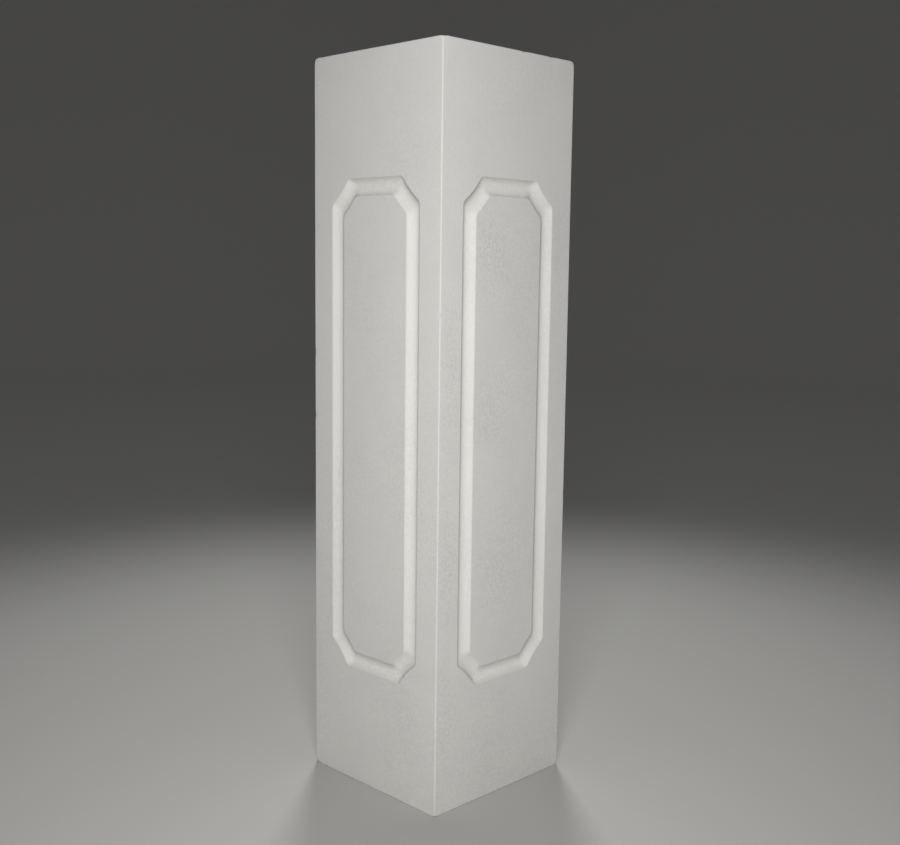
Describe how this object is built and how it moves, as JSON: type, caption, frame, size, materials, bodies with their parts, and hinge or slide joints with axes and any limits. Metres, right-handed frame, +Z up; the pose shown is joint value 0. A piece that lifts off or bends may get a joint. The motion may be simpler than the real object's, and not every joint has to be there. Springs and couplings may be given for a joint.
{
  "type": "cast stone post",
  "caption": "Square upright cast stone post with a sunk, round-bottomed channel framing a clipped-corner panel on each side, for a balustrade, garden wall or fence.",
  "frame": {"origin": "middle of the square underside, where the post stands", "axes": "+Z up along the post's axis, -Y and +X out of the two panelled sides that the picture shows, left and right"},
  "size_m": [0.2032, 0.2032, 0.8128],
  "materials": {
    "cast_stone": "off-white cast stone, dry and matt, fine sandy grain with patches of small pores"
  },
  "bodies": {
    "root": {"post": "cast_stone"}
  },
  "joints": []
}
